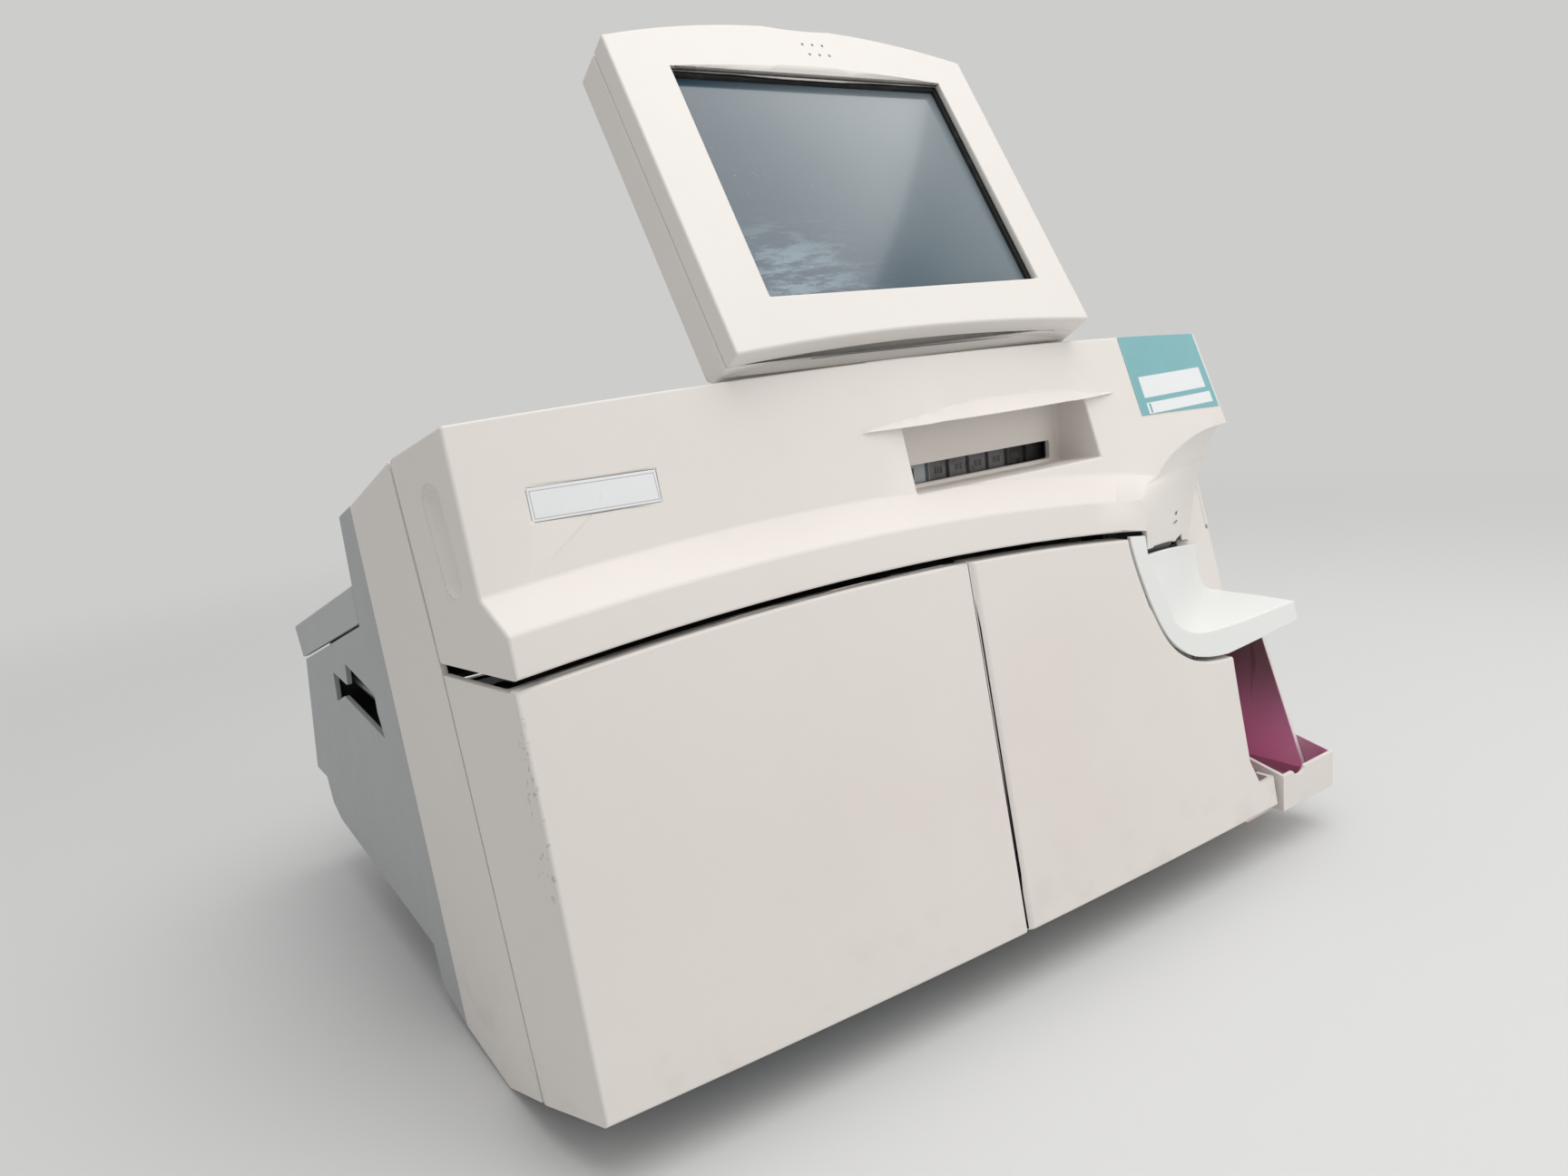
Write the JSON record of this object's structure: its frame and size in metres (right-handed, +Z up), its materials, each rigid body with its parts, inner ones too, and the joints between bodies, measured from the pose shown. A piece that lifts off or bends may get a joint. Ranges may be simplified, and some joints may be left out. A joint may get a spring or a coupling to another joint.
{
  "type": "blood gas analyzer",
  "caption": "Bench blood gas analyzer: curved white hood and doors, sample bay with arm rest, bottle well and tray, grey rear body with hand-holds and a tilting touch screen.",
  "frame": {"origin": "centre of the footprint on the bench", "axes": "+X to the right as seen from the front (the longest extent), +Y to the back, +Z up"},
  "size_m": [0.59, 0.5275, 0.5739],
  "materials": {
    "white_shell": "moulded, fine texture",
    "rest_white": "smooth moulding",
    "grey_shell": "moulded, fine texture",
    "lid_grey": "moulded, fine texture",
    "screen_white": "moulded, fine texture",
    "display_glass": "touch screen, smudged",
    "clear_pane": "clear",
    "dark_plastic": "plain",
    "grip_dark": "plain",
    "well_white": "stained inside",
    "tray_white": "stained inside",
    "label_teal": "printed film, bare fields",
    "plate_white": "bare plate",
    "rubber_black": "plain",
    "steel": "zinc plated",
    "bright_steel": "polished",
    "painted_steel": "powder coated",
    "cartridge_blue": "moulded",
    "cartridge_clear": "moulded",
    "block_metal": "machined",
    "sensor_dark": "moulded",
    "motor_black": "plain",
    "board_green": "solder mask",
    "paper": "thermal paper"
  },
  "bodies": {
    "frame": {"base_pan": "steel", "rear_legs": "painted_steel", "rubber_feet": "rubber_black", "mid_frame": "white_shell", "rear_body": "grey_shell", "power_inlet": "dark_plastic", "switch_frame": "dark_plastic", "data_ports": "dark_plastic", "lid_hinge_pins": "bright_steel", "grip_liners": "grip_dark", "grip_bars": "steel", "screen_arms": "painted_steel", "arm_bolts": "bright_steel", "tilt_pin_rod": "bright_steel", "left_hinge_rail": "steel", "centre_post": "steel", "door_catches": "dark_plastic", "sample_rest": "rest_white", "bay_panel": "white_shell", "port_plate": "dark_plastic", "probe_rail": "bright_steel", "probe_motor": "motor_black", "bottle_well": "well_white", "tray_runners": "dark_plastic", "mid_shelf": "steel", "measuring_block": "block_metal", "sensor_cassettes": "sensor_dark", "pump_plate": "steel", "pump_housing": "dark_plastic", "pump_motor": "motor_black", "main_board": "board_green", "board_spacers": "bright_steel", "power_supply": "steel", "fan_frame": "dark_plastic", "printer_body": "dark_plastic", "roll_spindle": "bright_steel", "reagent_cartridge": "cartridge_blue", "wash_cartridge": "cartridge_clear"},
    "hood": {"hood": "white_shell", "name_plate": "plate_white", "info_label": "label_teal", "window_frame": "dark_plastic", "window_pane": "clear_pane"},
    "left_door": {"left_door": "white_shell"},
    "right_door": {"right_door": "white_shell"},
    "rear_lid": {"rear_lid": "lid_grey"},
    "screen": {"screen_bezel": "screen_white", "screen_back": "screen_white", "display_gasket": "rubber_black", "display_panel": "display_glass", "speaker": "dark_plastic"},
    "bottle_tray": {"bottle_tray": "tray_white"},
    "sample_probe": {"sample_probe": "bright_steel", "probe_holder": "dark_plastic"},
    "pump_rotor": {"pump_rotor": "cartridge_clear"},
    "fan_rotor": {"fan_rotor": "dark_plastic"},
    "paper_roll": {"paper_roll": "paper"},
    "power_rocker": {"power_rocker": "dark_plastic"}
  },
  "joints": [
    {"name": "hood_pull", "type": "slide", "parent": "frame", "child": "hood", "axis": [0, -1, 0], "range_m": [0, 0.04]},
    {"name": "left_door_swing", "type": "hinge", "parent": "frame", "child": "left_door", "pos_m": [-0.284, -0.17993, 0.13], "axis": [0, -0.2089, -0.9779], "range_deg": [0, 95]},
    {"name": "right_door_swing", "type": "hinge", "parent": "frame", "child": "right_door", "pos_m": [-0.01325, -0.23506, 0.13], "axis": [0, -0.1366, -0.9906], "range_deg": [0, 90]},
    {"name": "rear_lid_swing", "type": "hinge", "parent": "frame", "child": "rear_lid", "pos_m": [0, 0.231, 0.181], "axis": [-1, 0, 0], "range_deg": [0, 95]},
    {"name": "screen_tilt", "type": "hinge", "parent": "frame", "child": "screen", "pos_m": [0, -0.15638, 0.38219], "axis": [-1, 0, 0], "range_deg": [0, 25]},
    {"name": "bottle_tray_slide", "type": "slide", "parent": "frame", "child": "bottle_tray", "axis": [0, -1, 0], "range_m": [0, 0.06]},
    {"name": "sample_probe_slide", "type": "slide", "parent": "frame", "child": "sample_probe", "axis": [0.4305, -0.9026, 0], "range_m": [0, 0.04]},
    {"name": "pump_rotor_spin", "type": "hinge", "parent": "frame", "child": "pump_rotor", "pos_m": [0.152, -0.14, 0.092], "axis": [0, 1, 0], "continuous": true},
    {"name": "fan_rotor_spin", "type": "hinge", "parent": "frame", "child": "fan_rotor", "pos_m": [-0.16, 0.19, 0.1], "axis": [0, 1, 0], "continuous": true},
    {"name": "paper_roll_spin", "type": "hinge", "parent": "frame", "child": "paper_roll", "pos_m": [0, 0.072, 0.226], "axis": [1, 0, 0], "continuous": true},
    {"name": "power_rocker_tip", "type": "hinge", "parent": "frame", "child": "power_rocker", "pos_m": [0.205, 0.23959, 0.14156], "axis": [1, 0, 0], "range_deg": [-5, 5]}
  ]
}
